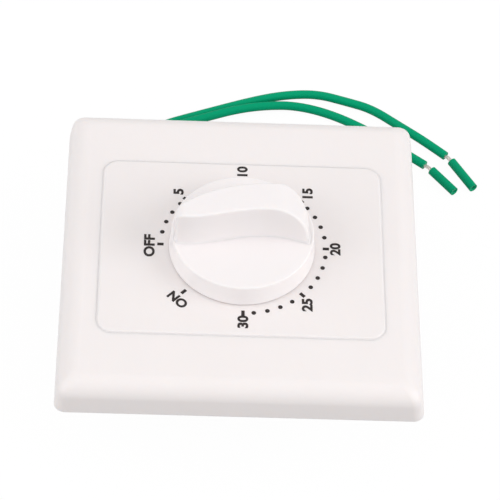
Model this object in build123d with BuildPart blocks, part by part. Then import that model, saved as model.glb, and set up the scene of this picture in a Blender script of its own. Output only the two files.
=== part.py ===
from build123d import *
import math
import os

os.makedirs("parts", exist_ok=True)

# Wind-up thirty-minute timer switch on a square wall plate, lying on the back of its case.
# X and Y lie in the plate, the dial faces +Z and OFF is on the -X side.

# Wall plate and cover frame
plate_size = 86.0
plate_corner = 3.2
cover_depth = 8.6
cover_draft = 9.5
cover_shoulder = 5.0
cover_front_wall = 2.0
cover_rim_wall = 2.0
cover_side_wall = 3.8
window_gap = 0.2
snap_gap = 0.3

# Base plate with its raised dial panel
base_thickness = 2.5
seat_rim = 2.0
seat_relief = 0.5
panel_x = 67.6
panel_y = 51.8
panel_corner = 3.8
panel_edge = 0.6
panel_wall = 2.0
panel_proud = 0.4
screw_pitch = 60.3
screw_slot_width = 4.4
screw_slot_length = 8.0
catch_reach_x = 20.0
catch_inset = 6.2
catch_width = 7.6
catch_thickness = 1.8
catch_gap = 0.3
shaft_hole = 9.0

# Case of the clockwork
case_behind = 24.0
case_x = 56.0
case_y = 46.8
case_wall = 1.8
case_corner = 3.0
lid_thickness = 2.2
lid_screw_seat = 0.7
lid_lip = 1.0
lid_gap = 0.15
lid_edge = 0.5
ear_size = 8.0
ear_reach = 6.3
ear_y = 14.0
boss_radius = 2.5
post_radius = 2.9
post_inset = 2.8
post_gap = 0.1

# Small screws
screw_shank = 1.05
screw_head = 2.2
screw_head_height = 1.4
screw_drive = 1.9
screw_drive_slot = 0.5
lid_screw_length = 5.6
case_screw_length = 6.0
movement_screw_length = 4.4
block_screw_length = 4.3
pilot_gap = 0.05
pilot_end = 1.0
hole_gap = 0.25

# Movement plates and pillars
movement_plate = 1.0
movement_boss_height = 3.7
plate_spacing = 14.0
movement_x = 51.0
movement_y = 42.0
movement_chamfer = 7.0
pillar_radius = 1.75
pillar_places = [(-22.5, 12.0), (-22.5, -12.0), (1.0, 19.0), (21.6, -14.0)]
nut_radius = 1.6
nut_height = 0.8
movement_screw_places = [(-23.2, 0.0), (23.0, -7.5), (9.0, -18.5), (-9.0, 18.8)]
movement_boss = 2.6

# Main arbor
arbor_radius = 3.0
arbor_rear_radius = 2.5
arbor_flat = 2.2
running_gap = 0.05
fitted_gap = 0.02
seat_gap = 0.2
collar_radius = 4.5
collar_height = 0.6
clip_thickness = 0.8
clip_radius = 5.0
clip_groove = 0.4
clip_mouth = 1.7
arbor_overrun = 0.3
arbor_chamfer = 0.4

# Wheels: teeth and places of the train
tooth_module = 0.5
pressure_angle = 25.0
addendum = 0.8
dedendum = 1.0
tooth_thinning = 0.12
main_teeth = 60
second_teeth = 40
pinion_leaves = 10
second_angle = 35.0
escape_angle = -7.45
escape_distance = 17.0
wheel_thickness = 1.0
wheel_holes = 5
wheel_rim = 3.15
wheel_hub = 6.75
second_holes = 4
second_rim = 2.1
second_hub = 3.1
pinion_height = 2.4
staff_radius = 0.9
staff_overrun = 0.5
staff_shoulder = 0.3
rear_shoulder = 0.8
front_shoulder = 0.4
main_wheel_lift = 7.5
second_wheel_lift = 11.1
bush_height = 1.1
bush_radius = 6.0
washer_radius = 5.5
washer_height = 0.8
washer_rim = 0.3
second_bush_radius = 2.0

# Escapement
escape_teeth = 15
escape_radius = 5.2
escape_root = 4.1
escape_wheel_lift = 3.5
escape_bush_radius = 1.8
escape_bush_height = 1.6
pallet_distance = 7.5
pallet_angle = -75.0
pallet_pin_radius = 0.3
pallet_pin_gap = 0.4
pallet_pin_spread = 45.0
pallet_pin_reach = 0.3
pallet_lever_gap = 0.7
pallet_lever_thickness = 0.8
pallet_lever_width = 1.5
pallet_hub_wall = 0.6
inertia_radius = 3.2
inertia_height = 1.4
inertia_hub_radius = 1.9
inertia_hub_height = 1.0

# Mainspring
spring_inner = 3.5
spring_pitch = 1.2
spring_half_turns = 13
spring_strip = 0.4
spring_height = 5.0
spring_lift = 1.0
spring_post_radius = 0.8
spring_post_overrun = 0.5

# Stop arm and pin
stop_arm_lift = 1.2
stop_arm_thickness = 1.0
stop_arm_reach = 9.6
stop_arm_hub = 5.0
stop_pin_radius = 1.2
stop_pin_circle = 8.0
stop_rest_angle = 180.0
travel_to_on = 45.0
travel_to_thirty = 270.0
stop_pin_clearance = 1.0
stop_pin_overrun = 0.6

# Switch
cam_radius = 7.0
cam_notch = 0.8
cam_height = 2.5
cam_top_gap = 1.0
cam_clip_radius = 3.8
block_x = 9.0
block_y = 10.5
block_depth = 4.8
block_right = -9.5
block_near = 3.0
block_screw_inset = 2.0
block_screw_seat = 1.4
blade_thickness = 0.35
blade_height = 3.0
blade_drop = 3.2
blade_tip = 13.5
leaf_y = 8.2
leaf_gap = 0.3
fixed_blade_y = 11.2
pad_width = 3.0
pad_gap = 0.2
pad_inset = 0.3
rivet_radius = 1.3
rivet_height = 0.9
rivet_inset = 2.2
rivet_edge = 0.3
tab_width = 3.0
tab_thickness = 0.5
tab_length = 4.0

# Grommet and leads
lead_diameter = 2.2
strand_diameter = 1.0
slug_diameter = 2.35
slug_bore = 3.0
slug_bore_gap = 0.1
long_slug_length = 10.2
short_slug_length = 8.9
long_slug_heading = -59.0
short_slug_heading = -51.0
bare_run = 1.25
lead_exit_x = -14.0
lead_exit_pitch = 3.2
grommet_x = 7.2
grommet_z = 3.4
grommet_flange = 0.8
grommet_flange_depth = 0.8
grommet_nose = 1.6
grommet_edge = 0.3
lead_bore_gap = 0.05
tail_strand = 3.4
tail_gap = 0.2
solder_radius = 1.1
solder_cover = 0.4
solder_under = 0.15
solder_over = 0.3

# Knob
knob_base_radius = 17.45
knob_floor_radius = 16.9
knob_lift = 0.5
knob_floor = 6.0
knob_edge = 0.4
knob_wall = 1.6
knob_web = 1.6
knob_hub_radius = 4.2
knob_hub_depth = 4.5
knob_bore_top = 5.0
knob_bore_end_gap = 0.4
knob_clip_width = 2.6
knob_clip_thickness = 0.4
knob_clip_inset = 1.0
grip_top = 16.1
grip_end_x = 15.5
grip_end_radius = 8.8
grip_nose_x = -16.3
grip_nose_radius = 2.4
grip_nose_edge = 1.2
grip_edge = 0.5
grip_root = 0.5

# Heights worked out from the stack
wall_z = case_behind
cover_front_z = wall_z + cover_depth
relief_z = wall_z + seat_relief
dial_z = cover_front_z + panel_proud
panel_inner_z = dial_z - panel_wall
case_front_inner_z = panel_inner_z - case_wall
front_plate_top = case_front_inner_z - movement_boss_height
front_plate_z = front_plate_top - movement_plate
back_plate_top = front_plate_z - plate_spacing
back_plate_z = back_plate_top - movement_plate
main_wheel_z = back_plate_top + main_wheel_lift
second_wheel_z = back_plate_top + second_wheel_lift
escape_wheel_z = back_plate_top + escape_wheel_lift
stop_arm_z = front_plate_top + stop_arm_lift
blade_z = back_plate_z - blade_drop
cover_inner_half = plate_size / 2 - cover_side_wall
inner_x = case_x / 2 - case_wall
inner_y = case_y / 2 - case_wall
block_left = block_right - block_x
block_far = block_near + block_y
block_low = back_plate_z - block_depth
lead_exit_z = blade_z - leaf_gap + solder_under + strand_diameter / 2
block_screw_y = block_near + screw_head + hole_gap
block_screw_places = [
    (block_left + block_screw_inset, block_screw_y),
    (block_right - block_screw_inset, block_screw_y),
]
knob_z = dial_z + knob_lift
knob_floor_z = dial_z + knob_floor
grip_top_z = dial_z + grip_top

pitch_main = main_teeth * tooth_module / 2
pitch_second = second_teeth * tooth_module / 2
pitch_pinion = pinion_leaves * tooth_module / 2
main_centres = pitch_main + pitch_pinion
second_centres = pitch_second + pitch_pinion


def polar(radius, degrees, centre=(0.0, 0.0)):
    turn = math.radians(degrees)
    return (centre[0] + radius * math.cos(turn), centre[1] + radius * math.sin(turn))


second_place = polar(main_centres, second_angle)
escape_place = polar(escape_distance, escape_angle)
mesh_angle = math.degrees(
    math.atan2(escape_place[1] - second_place[1], escape_place[0] - second_place[0])
)
escape_place = polar(second_centres, mesh_angle, second_place)
pallet_place = polar(pallet_distance, pallet_angle, escape_place)


def keep(piece, label):
    piece.part.label = label
    export_step(piece.part, f"parts/{label}.step")


def rod(radius, low, high, place=(0.0, 0.0), mode=Mode.ADD):
    with Locations((place[0], place[1], low)):
        Cylinder(radius, high - low, align=(Align.CENTER, Align.CENTER, Align.MIN), mode=mode)


def block(low, high, mode=Mode.ADD):
    size = [high[axis] - low[axis] for axis in range(3)]
    with Locations(tuple(low)):
        Box(size[0], size[1], size[2], align=(Align.MIN, Align.MIN, Align.MIN), mode=mode)


def involute(angle):
    return math.tan(angle) - angle


def tooth_half_angle(radius, teeth):
    """Half the tooth's angle at a radius, on an involute flank."""
    pitch = teeth * tooth_module / 2
    base = pitch * math.cos(math.radians(pressure_angle))
    at_pitch = math.pi / (2 * teeth) - tooth_thinning / (2 * pitch)
    flank = math.acos(min(1.0, base / max(radius, base)))
    return at_pitch + involute(math.radians(pressure_angle)) - involute(flank)


def toothed_outline(teeth, phase):
    """Points round a spur wheel, with one tooth centred on the phase angle."""
    pitch = teeth * tooth_module / 2
    tip = pitch + addendum * tooth_module
    root = pitch - dedendum * tooth_module
    steps = [root] + [root + (tip - root) * share for share in (0.4, 0.7, 1.0)]
    points = []
    for tooth in range(teeth):
        centre = math.radians(phase) + 2 * math.pi * tooth / teeth
        for radius in steps:
            turn = centre - tooth_half_angle(radius, teeth)
            points.append((radius * math.cos(turn), radius * math.sin(turn)))
        for radius in reversed(steps):
            turn = centre + tooth_half_angle(radius, teeth)
            points.append((radius * math.cos(turn), radius * math.sin(turn)))
    return points


def place_outline(points, place):
    return [(x + place[0], y + place[1]) for x, y in points]


def pan_screws(places, seat_z, length, toward=1):
    """Cross-slotted pan screws whose heads lie against seat_z and whose shanks point along Z."""
    for x, y in places:
        tip_z = seat_z + toward * length
        head_z = seat_z - toward * screw_head_height
        rod(screw_shank, min(seat_z, tip_z), max(seat_z, tip_z), (x, y))
        rod(screw_head, min(seat_z, head_z), max(seat_z, head_z), (x, y))
        slot_low = head_z if toward > 0 else head_z - screw_drive_slot
        for wide, narrow in ((screw_drive, screw_drive_slot), (screw_drive_slot, screw_drive)):
            block(
                (x - wide / 2, y - narrow / 2, slot_low),
                (x + wide / 2, y + narrow / 2, slot_low + screw_drive_slot),
                mode=Mode.SUBTRACT,
            )


# Cover frame: a drafted, pillowed square frame with a window for the dial panel
catch_y = plate_size / 2 - catch_inset
catch_places = [(side * catch_reach_x, end * catch_y) for side in (-1, 1) for end in (-1, 1)]
base_half = plate_size / 2 - cover_rim_wall - snap_gap
ledge_z = wall_z + base_thickness

with BuildPart() as cover_frame:
    with BuildSketch(Plane.XY.offset(wall_z)):
        RectangleRounded(plate_size, plate_size, plate_corner)
    extrude(amount=cover_depth, taper=cover_draft)
    fillet(cover_frame.faces().sort_by(Axis.Z)[-1].edges(), cover_shoulder)
    rim_opening = plate_size - 2 * cover_rim_wall
    with BuildSketch(Plane.XY.offset(wall_z)):
        RectangleRounded(rim_opening, rim_opening, plate_corner / 2)
    extrude(amount=base_thickness, mode=Mode.SUBTRACT)
    with BuildSketch(Plane.XY.offset(ledge_z)):
        RectangleRounded(2 * cover_inner_half, 2 * cover_inner_half, plate_corner)
    extrude(
        amount=cover_depth - base_thickness - cover_front_wall,
        taper=cover_draft,
        mode=Mode.SUBTRACT,
    )
    with BuildSketch(Plane.XY.offset(ledge_z)):
        RectangleRounded(
            panel_x + 2 * window_gap, panel_y + 2 * window_gap, panel_corner + window_gap
        )
    extrude(amount=cover_depth, mode=Mode.SUBTRACT)
    for x, y in catch_places:
        block(
            (x - catch_width / 2, y - catch_thickness / 2, relief_z + catch_gap),
            (x + catch_width / 2, y + catch_thickness / 2, cover_front_z - cover_front_wall),
        )
keep(cover_frame, "cover_frame")

# Base plate: seat rim, relieved back, raised dial panel, screw and catch slots, ear bosses
ear_x = case_x / 2 + ear_reach / 2
ear_places = [(side * ear_x, end * ear_y) for side in (-1, 1) for end in (-1, 1)]

with BuildPart() as base_plate:
    with BuildSketch(Plane.XY.offset(wall_z)):
        RectangleRounded(2 * base_half, 2 * base_half, plate_corner / 2)
    extrude(amount=base_thickness)
    with BuildSketch(Plane.XY.offset(ledge_z)):
        RectangleRounded(panel_x, panel_y, panel_corner)
    extrude(amount=dial_z - ledge_z)
    fillet(base_plate.faces().sort_by(Axis.Z)[-1].edges(), panel_edge)
    with BuildSketch(Plane.XY.offset(wall_z)):
        RectangleRounded(
            panel_x - 2 * panel_wall, panel_y - 2 * panel_wall, panel_corner - panel_wall / 2
        )
    extrude(amount=panel_inner_z - wall_z, mode=Mode.SUBTRACT)
    relief_half = base_half - seat_rim
    with BuildSketch(Plane.XY.offset(wall_z)):
        RectangleRounded(2 * relief_half, 2 * relief_half, plate_corner / 2)
    extrude(amount=seat_relief, mode=Mode.SUBTRACT)
    for place in ear_places:
        rod(boss_radius, relief_z, panel_inner_z, place)
        rod(screw_shank + pilot_gap, relief_z, panel_inner_z - pilot_end, place, Mode.SUBTRACT)
    rod(shaft_hole / 2, panel_inner_z, dial_z, mode=Mode.SUBTRACT)
    with BuildSketch(Plane.XY.offset(wall_z)):
        with Locations((0, screw_pitch / 2), (0, -screw_pitch / 2)):
            SlotOverall(screw_slot_length, screw_slot_width, rotation=90)
    extrude(amount=base_thickness, mode=Mode.SUBTRACT)
    for x, y in catch_places:
        block(
            (x - catch_width / 2 - catch_gap, y - catch_thickness / 2 - catch_gap, wall_z),
            (x + catch_width / 2 + catch_gap, y + catch_thickness / 2 + catch_gap, ledge_z),
            mode=Mode.SUBTRACT,
        )
keep(base_plate, "base_plate")

# Case shell: a box open at the rear, with ears, lid posts and movement bosses
post_places = [
    (side * (inner_x - post_inset), end * (inner_y - post_inset))
    for side in (-1, 1)
    for end in (-1, 1)
]
post_top = back_plate_z - post_gap
ear_low_z = relief_z - case_wall
lead_places = [lead_exit_x - lead_exit_pitch / 2, lead_exit_x + lead_exit_pitch / 2]

with BuildPart() as case_shell:
    with BuildSketch(Plane.XY.offset(lid_thickness)):
        RectangleRounded(case_x, case_y, case_corner)
    extrude(amount=panel_inner_z - lid_thickness)
    with BuildSketch(Plane.XY.offset(lid_thickness)):
        RectangleRounded(2 * inner_x, 2 * inner_y, case_corner - case_wall)
    extrude(amount=case_front_inner_z - lid_thickness, mode=Mode.SUBTRACT)
    for place in post_places:
        rod(post_radius, lid_thickness, post_top, place)
        rod(screw_shank + pilot_gap, lid_thickness, post_top, place, Mode.SUBTRACT)
    for place in movement_screw_places:
        rod(movement_boss, front_plate_top, case_front_inner_z, place)
        rod(screw_shank + pilot_gap, front_plate_top, case_front_inner_z, place, Mode.SUBTRACT)
    for x, y in ear_places:
        side = math.copysign(1, x)
        near, far = sorted((side * case_x / 2, side * (case_x / 2 + ear_reach)))
        block((near, y - ear_size / 2, ear_low_z), (far, y + ear_size / 2, relief_z))
        rod(screw_shank + hole_gap, ear_low_z, relief_z, (x, y), Mode.SUBTRACT)
    rod(shaft_hole / 2, case_front_inner_z, panel_inner_z, mode=Mode.SUBTRACT)
    block(
        (lead_exit_x - grommet_x / 2, inner_y, lead_exit_z - grommet_z / 2),
        (lead_exit_x + grommet_x / 2, case_y / 2, lead_exit_z + grommet_z / 2),
        mode=Mode.SUBTRACT,
    )
keep(case_shell, "case_shell")

# Rear lid with counterbored screw holes and a locating lip that stops at the grommet
with BuildPart() as rear_lid:
    with BuildSketch(Plane.XY):
        RectangleRounded(case_x, case_y, case_corner)
    extrude(amount=lid_thickness)
    lip_x = 2 * (inner_x - lid_gap)
    lip_y = 2 * (inner_y - lid_gap)
    with BuildSketch(Plane.XY.offset(lid_thickness)):
        RectangleRounded(lip_x, lip_y, case_corner - case_wall)
        RectangleRounded(
            lip_x - 2 * case_wall, lip_y - 2 * case_wall, case_corner - case_wall, mode=Mode.SUBTRACT
        )
    extrude(amount=lid_lip)
    block(
        (lead_exit_x - grommet_x / 2 - lid_gap, 0, lid_thickness),
        (lead_exit_x + grommet_x / 2 + lid_gap, case_y / 2, lid_thickness + lid_lip),
        mode=Mode.SUBTRACT,
    )
    for place in post_places:
        rod(post_radius + lid_gap, lid_thickness, lid_thickness + lid_lip, place, Mode.SUBTRACT)
        rod(screw_shank + hole_gap, 0, lid_thickness, place, Mode.SUBTRACT)
        rod(screw_head + hole_gap, 0, lid_thickness - lid_screw_seat, place, Mode.SUBTRACT)
    fillet(rear_lid.faces().sort_by(Axis.Z)[0].outer_wire().edges(), lid_edge)
keep(rear_lid, "rear_lid")

with BuildPart() as lid_screws:
    pan_screws(post_places, lid_thickness - lid_screw_seat, lid_screw_length)
keep(lid_screws, "lid_screws")

with BuildPart() as case_screws:
    pan_screws(ear_places, ear_low_z, case_screw_length)
keep(case_screws, "case_screws")

# Movement plates with chamfered corners, bearing holes and pillar holes
arbor_places = [second_place, escape_place, pallet_place]


def movement_sheet(low, main_hole, tapped_places=()):
    with BuildSketch(Plane.XY.offset(low)) as sheet:
        Rectangle(movement_x, movement_y)
        chamfer(sheet.vertices(), movement_chamfer)
        Circle(main_hole, mode=Mode.SUBTRACT)
        with Locations(*arbor_places):
            Circle(staff_radius + running_gap, mode=Mode.SUBTRACT)
        with Locations(*pillar_places):
            Circle(screw_shank + hole_gap, mode=Mode.SUBTRACT)
        with Locations(*movement_screw_places):
            Circle(screw_shank + hole_gap, mode=Mode.SUBTRACT)
        for place in tapped_places:
            with Locations(place):
                Circle(screw_shank + pilot_gap, mode=Mode.SUBTRACT)
    return extrude(sheet.sketch, amount=movement_plate)


with BuildPart() as back_movement_plate:
    movement_sheet(back_plate_z, arbor_rear_radius + running_gap, block_screw_places)
keep(back_movement_plate, "back_movement_plate")

with BuildPart() as front_movement_plate:
    movement_sheet(front_plate_z, arbor_radius + running_gap)
keep(front_movement_plate, "front_movement_plate")

# Pillars with turned-down ends, and the nuts on them
with BuildPart() as pillars:
    for place in pillar_places:
        rod(pillar_radius, back_plate_top, front_plate_z, place)
        rod(screw_shank, back_plate_z - nut_height, front_plate_top + nut_height, place)
keep(pillars, "pillars")

with BuildPart() as pillar_nuts:
    for low in (back_plate_z - nut_height, front_plate_top):
        with BuildSketch(Plane.XY.offset(low)):
            with Locations(*pillar_places):
                RegularPolygon(nut_radius, 6, major_radius=False)
                Circle(screw_shank + fitted_gap, mode=Mode.SUBTRACT)
        extrude(amount=nut_height)
keep(pillar_nuts, "pillar_nuts")

with BuildPart() as movement_screws:
    pan_screws(movement_screw_places, front_plate_z, movement_screw_length)
keep(movement_screws, "movement_screws")

# Main arbor: rear journal, collar, spring seat, front journal and flatted shaft
collar_z = back_plate_top + seat_gap
front_clip_z = front_plate_top + seat_gap
cam_high = back_plate_z - cam_top_gap
cam_low = cam_high - cam_height
arbor_low = cam_low - clip_thickness - arbor_overrun
knob_bore_z = dial_z + knob_bore_top
arbor_high = knob_bore_z - knob_bore_end_gap
knob_hub_z = dial_z - knob_hub_depth

with BuildPart() as main_arbor:
    rod(arbor_rear_radius, arbor_low, collar_z)
    rod(collar_radius, collar_z, collar_z + collar_height)
    rod(arbor_radius, collar_z + collar_height, arbor_high)
    for low, radius in ((front_clip_z, arbor_radius), (cam_low - clip_thickness, arbor_rear_radius)):
        rod(radius, low, low + clip_thickness, mode=Mode.SUBTRACT)
        rod(radius - clip_groove, low, low + clip_thickness)
    block(
        (-arbor_radius, arbor_flat, knob_hub_z),
        (arbor_radius, arbor_radius, arbor_high),
        Mode.SUBTRACT,
    )
    chamfer(main_arbor.faces().sort_by(Axis.Z)[-1].edges(), arbor_chamfer)
keep(main_arbor, "main_arbor")


def ring(outer, inner, low, high, place=(0.0, 0.0)):
    rod(outer, low, high, place)
    rod(inner, low, high, place, Mode.SUBTRACT)


# Open clips that hold the arbor and the cam
def open_clip(outer, groove, low):
    ring(outer, groove + fitted_gap, low, low + clip_thickness)
    block((0, -clip_mouth, low), (2 * outer, clip_mouth, low + clip_thickness), Mode.SUBTRACT)


with BuildPart() as front_clip:
    open_clip(clip_radius, arbor_radius - clip_groove, front_clip_z)
keep(front_clip, "front_clip")

with BuildPart() as cam_clip:
    open_clip(cam_clip_radius, arbor_rear_radius - clip_groove, cam_low - clip_thickness)
keep(cam_clip, "cam_clip")

# Switching cam with the notch that the follower faces at OFF
with BuildPart() as cam:
    with BuildSketch(Plane.XY.offset(cam_low)):
        Circle(cam_radius)
        with Locations((0, cam_radius + pad_width / 2)):
            Circle(pad_width / 2 + cam_notch, mode=Mode.SUBTRACT)
        Circle(arbor_rear_radius + fitted_gap, mode=Mode.SUBTRACT)
    extrude(amount=cam_height)
keep(cam, "cam")

# Main wheel, its bush, friction washer and retaining clip
main_wheel_top = main_wheel_z + wheel_thickness

with BuildPart() as main_wheel:
    with BuildSketch(Plane.XY.offset(main_wheel_z)):
        with BuildLine():
            Polyline(*toothed_outline(main_teeth, second_angle), close=True)
        make_face()
        wheel_web = pitch_main - wheel_rim - wheel_hub
        with PolarLocations(wheel_hub + wheel_web / 2, wheel_holes, start_angle=second_angle):
            Circle(wheel_web / 2, mode=Mode.SUBTRACT)
        Circle(arbor_radius + fitted_gap, mode=Mode.SUBTRACT)
    extrude(amount=wheel_thickness)
keep(main_wheel, "main_wheel")

with BuildPart() as wheel_bush:
    ring(bush_radius, arbor_radius + fitted_gap, main_wheel_z - bush_height, main_wheel_z)
keep(wheel_bush, "wheel_bush")

with BuildPart() as friction_washer:
    with BuildSketch(Plane.XZ):
        with BuildLine():
            Polyline(
                (arbor_radius + fitted_gap, main_wheel_top + washer_height - washer_rim),
                (washer_radius - washer_rim, main_wheel_top),
                (washer_radius, main_wheel_top),
                (washer_radius, main_wheel_top + washer_rim),
                (arbor_radius + fitted_gap + washer_rim, main_wheel_top + washer_height),
                (arbor_radius + fitted_gap, main_wheel_top + washer_height),
                close=True,
            )
        make_face()
    revolve(axis=Axis.Z)
keep(friction_washer, "friction_washer")

wheel_clip_z = main_wheel_top + washer_height
with BuildPart() as wheel_clip:
    ring(collar_radius, arbor_radius + fitted_gap, wheel_clip_z, wheel_clip_z + clip_thickness)
keep(wheel_clip, "wheel_clip")

# Stop arm on the arbor, and the pin on the front plate that it meets at ON and at thirty
stop_pin_angle = stop_rest_angle + (360 - travel_to_thirty + travel_to_on) / 2
stop_free_angle = (360 - travel_to_thirty - travel_to_on) / 2
pin_half_angle = math.degrees(math.asin(stop_pin_radius / stop_pin_circle))
arm_half_angle = stop_free_angle - pin_half_angle - stop_pin_clearance

with BuildPart() as stop_arm:
    with BuildSketch(Plane.XY.offset(stop_arm_z)):
        Circle(stop_arm_hub)
        with BuildLine():
            first = polar(stop_arm_reach, stop_rest_angle - arm_half_angle)
            middle = polar(stop_arm_reach, stop_rest_angle)
            last = polar(stop_arm_reach, stop_rest_angle + arm_half_angle)
            Line((0, 0), first)
            ThreePointArc(first, middle, last)
            Line(last, (0, 0))
        make_face()
        Circle(arbor_radius + fitted_gap, mode=Mode.SUBTRACT)
    extrude(amount=stop_arm_thickness)
keep(stop_arm, "stop_arm")

with BuildPart() as stop_pin:
    rod(
        stop_pin_radius,
        front_plate_top,
        stop_arm_z + stop_arm_thickness + stop_pin_overrun,
        polar(stop_pin_circle, stop_pin_angle),
    )
keep(stop_pin, "stop_pin")

# Mainspring: one flat strip wound outward in half turns and hooked on its post
spring_z = back_plate_top + spring_lift
with BuildPart() as mainspring:
    with BuildSketch(Plane.XY.offset(spring_z)) as spring_section:
        with BuildLine() as spring_path:
            side = 1
            start_x = spring_inner
            for half_turn in range(spring_half_turns):
                radius = spring_inner + spring_pitch * (half_turn + 0.5) / 2
                end_x = start_x - side * 2 * radius
                middle_x = (start_x + end_x) / 2
                ThreePointArc((start_x, 0), (middle_x, side * radius), (end_x, 0))
                start_x = end_x
                side = -side
            hook_radius = spring_post_radius + running_gap + spring_strip / 2
            post_x = start_x - hook_radius
            ThreePointArc((start_x, 0), (post_x, -hook_radius), (post_x - hook_radius, 0))
        trace(line_width=spring_strip)
    extrude(amount=spring_height)
keep(mainspring, "mainspring")
with BuildPart() as spring_post:
    rod(
        spring_post_radius,
        back_plate_top,
        spring_z + spring_height + spring_post_overrun,
        (post_x, 0),
    )
keep(spring_post, "spring_post")
spring_gap = spring_pitch - spring_strip
print(f"mainspring: least gap between turns {spring_gap:.2f} mm, outer end at x {start_x:.2f}")

# Second wheel and staff, in mesh with the main wheel
staff_low = back_plate_z - staff_overrun
staff_high = front_plate_top + staff_overrun
first_pinion_z = main_wheel_z + wheel_thickness / 2 - pinion_height / 2
half_leaf = 180 / pinion_leaves


def staff(place):
    """A staff between the plates, with shoulders just inside both of them."""
    low = back_plate_top + seat_gap
    high = front_plate_z - seat_gap
    rod(staff_radius, staff_low, staff_high, place)
    rod(staff_radius + staff_shoulder, low, low + rear_shoulder, place)
    rod(staff_radius + staff_shoulder, high - front_shoulder, high, place)


def pinion(place, low, phase):
    with BuildSketch(Plane.XY.offset(low)) as leaves:
        with BuildLine():
            Polyline(*place_outline(toothed_outline(pinion_leaves, phase), place), close=True)
        make_face()
    extrude(leaves.sketch, amount=pinion_height)


with BuildPart() as second_staff:
    staff(second_place)
    pinion(second_place, first_pinion_z, second_angle + 180 + half_leaf)
keep(second_staff, "second_staff")

second_bush_z = first_pinion_z + pinion_height
with BuildPart() as second_bush:
    ring(
        second_bush_radius,
        staff_radius + fitted_gap,
        second_bush_z,
        second_wheel_z,
        second_place,
    )
keep(second_bush, "second_bush")

with BuildPart() as second_wheel:
    with BuildSketch(Plane.XY.offset(second_wheel_z)):
        with BuildLine():
            outline = toothed_outline(second_teeth, mesh_angle)
            Polyline(*place_outline(outline, second_place), close=True)
        make_face()
        second_web = pitch_second - second_rim - second_hub
        hole_step = 360 / second_holes
        hole_places = [
            polar(second_hub + second_web / 2, mesh_angle + hole_step * (hole + 0.5), second_place)
            for hole in range(second_holes)
        ]
        with Locations(*hole_places):
            Circle(second_web / 2, mode=Mode.SUBTRACT)
        with Locations(second_place):
            Circle(staff_radius + fitted_gap, mode=Mode.SUBTRACT)
    extrude(amount=wheel_thickness)
keep(second_wheel, "second_wheel")

# Escape staff, bush and wheel
escape_pinion_z = second_wheel_z + wheel_thickness / 2 - pinion_height / 2
with BuildPart() as escape_staff:
    staff(escape_place)
    pinion(escape_place, escape_pinion_z, mesh_angle + 180 + half_leaf)
keep(escape_staff, "escape_staff")

escape_bush_z = escape_wheel_z + wheel_thickness
with BuildPart() as escape_bush:
    ring(
        escape_bush_radius,
        staff_radius + fitted_gap,
        escape_bush_z,
        escape_bush_z + escape_bush_height,
        escape_place,
    )
keep(escape_bush, "escape_bush")

rake_shares = [(escape_root, 0.0), (escape_radius, 0.1), (escape_radius, 0.2), (escape_root, 0.8)]
with BuildPart() as escape_wheel:
    with BuildSketch(Plane.XY.offset(escape_wheel_z)):
        with BuildLine():
            rakes = []
            tooth_step = 360 / escape_teeth
            for tooth in range(escape_teeth):
                for radius, share in rake_shares:
                    rakes.append(polar(radius, (tooth + share) * tooth_step, escape_place))
            Polyline(*rakes, close=True)
        make_face()
        with Locations(escape_place):
            Circle(staff_radius + fitted_gap, mode=Mode.SUBTRACT)
    extrude(amount=wheel_thickness)
keep(escape_wheel, "escape_wheel")

# Pallet staff, lever with two pins either side of the escape wheel, and inertia disc
lever_z = escape_wheel_z + wheel_thickness + pallet_lever_gap
disc_hub_z = lever_z + pallet_lever_thickness
disc_z = disc_hub_z + inertia_hub_height
pin_circle = escape_radius + pallet_pin_gap + pallet_pin_radius
pin_places = [
    polar(pin_circle, pallet_angle + side * pallet_pin_spread, escape_place) for side in (-1, 1)
]

with BuildPart() as pallet_staff:
    staff(pallet_place)
keep(pallet_staff, "pallet_staff")

with BuildPart() as pallet_lever:
    for place in pin_places:
        arm = (place[0] - pallet_place[0], place[1] - pallet_place[1])
        arm_length = math.hypot(arm[0], arm[1])
        arm_turn = math.degrees(math.atan2(arm[1], arm[0]))
        middle = ((place[0] + pallet_place[0]) / 2, (place[1] + pallet_place[1]) / 2)
        with BuildSketch(Plane.XY.offset(lever_z)):
            with Locations(middle):
                SlotCenterToCenter(arm_length, pallet_lever_width, rotation=arm_turn)
        extrude(amount=pallet_lever_thickness)
        rod(pallet_pin_radius, escape_wheel_z - pallet_pin_reach, lever_z, place)
    hub_radius = staff_radius + pallet_hub_wall
    ring(hub_radius, staff_radius + fitted_gap, lever_z, disc_hub_z, pallet_place)
keep(pallet_lever, "pallet_lever")

with BuildPart() as inertia_disc:
    bore = staff_radius + fitted_gap
    ring(inertia_hub_radius, bore, disc_hub_z, disc_z, pallet_place)
    ring(inertia_radius, bore, disc_z, disc_z + inertia_height, pallet_place)
keep(inertia_disc, "inertia_disc")

# Contact block with the two blade roots, their tabs, and the screws to the back plate
blade_top = blade_z + blade_height
tab_z = blade_z - leaf_gap - tab_thickness
fixed_tab_x = lead_places[0]
moving_tab_x = lead_places[1]

with BuildPart() as fixed_blade:
    block(
        (block_left, fixed_blade_y, blade_z),
        (blade_tip, fixed_blade_y + blade_thickness, blade_top),
    )
    block(
        (fixed_tab_x - tab_width / 2, fixed_blade_y, tab_z),
        (fixed_tab_x + tab_width / 2, fixed_blade_y + blade_thickness, blade_z),
    )
    block(
        (fixed_tab_x - tab_width / 2, fixed_blade_y, tab_z),
        (fixed_tab_x + tab_width / 2, block_far + tab_length, tab_z + tab_thickness),
    )
keep(fixed_blade, "fixed_blade")

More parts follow.
